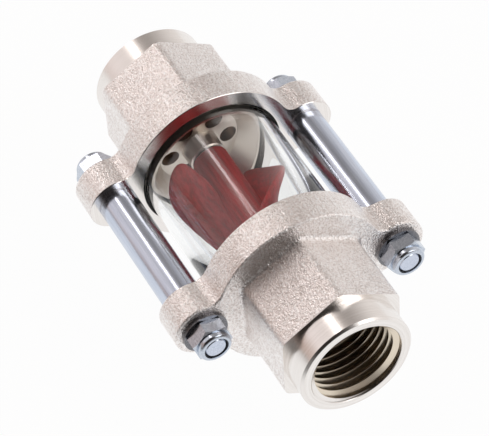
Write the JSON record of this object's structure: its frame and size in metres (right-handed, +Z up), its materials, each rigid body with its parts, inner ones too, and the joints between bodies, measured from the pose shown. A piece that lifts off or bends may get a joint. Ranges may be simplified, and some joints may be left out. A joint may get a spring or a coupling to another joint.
{
  "type": "impeller flow indicator",
  "caption": "In-line pipe sight glass with a free-spinning bladed rotor, held between threaded cast housings by tie rods.",
  "frame": {"origin": "middle of the sight glass, on the flow axis", "axes": "+X along the flow from the inlet port to the outlet port, +Y from the left tie rod to the right one, +Z up across the flow"},
  "size_m": [0.0952, 0.0584, 0.0396],
  "materials": {
    "nickel_casting": "nickel-plated cast brass, blasted outside, turned faces bright",
    "sight_glass": "clear borosilicate tube",
    "seal_rubber": "black nitrile rubber",
    "axle_steel": "ground stainless steel",
    "red_moulding": "red moulded plastic, satin",
    "zinc_rod": "drawn steel bar, bright zinc plated",
    "zinc_hardware": "steel, bright zinc plated",
    "insert_polymer": "dark moulded polymer"
  },
  "bodies": {
    "body": {"inlet_housing": "nickel_casting", "outlet_housing": "nickel_casting", "sight_glass": "sight_glass", "inlet_seal": "seal_rubber", "outlet_seal": "seal_rubber", "axle": "axle_steel", "left_tie_rod": "zinc_rod", "right_tie_rod": "zinc_rod", "inlet_left_washer": "zinc_hardware", "inlet_right_washer": "zinc_hardware", "outlet_left_washer": "zinc_hardware", "outlet_right_washer": "zinc_hardware", "inlet_left_nut": "zinc_hardware", "inlet_right_nut": "zinc_hardware", "outlet_left_nut": "zinc_hardware", "outlet_right_nut": "zinc_hardware", "inlet_left_insert": "insert_polymer", "inlet_right_insert": "insert_polymer", "outlet_left_insert": "insert_polymer", "outlet_right_insert": "insert_polymer"},
    "rotor": {"impeller": "red_moulding"}
  },
  "joints": [
    {"name": "impeller_spin", "type": "hinge", "parent": "body", "child": "rotor", "pos_m": [0, 0, 0], "axis": [1, 0, 0], "continuous": true}
  ]
}
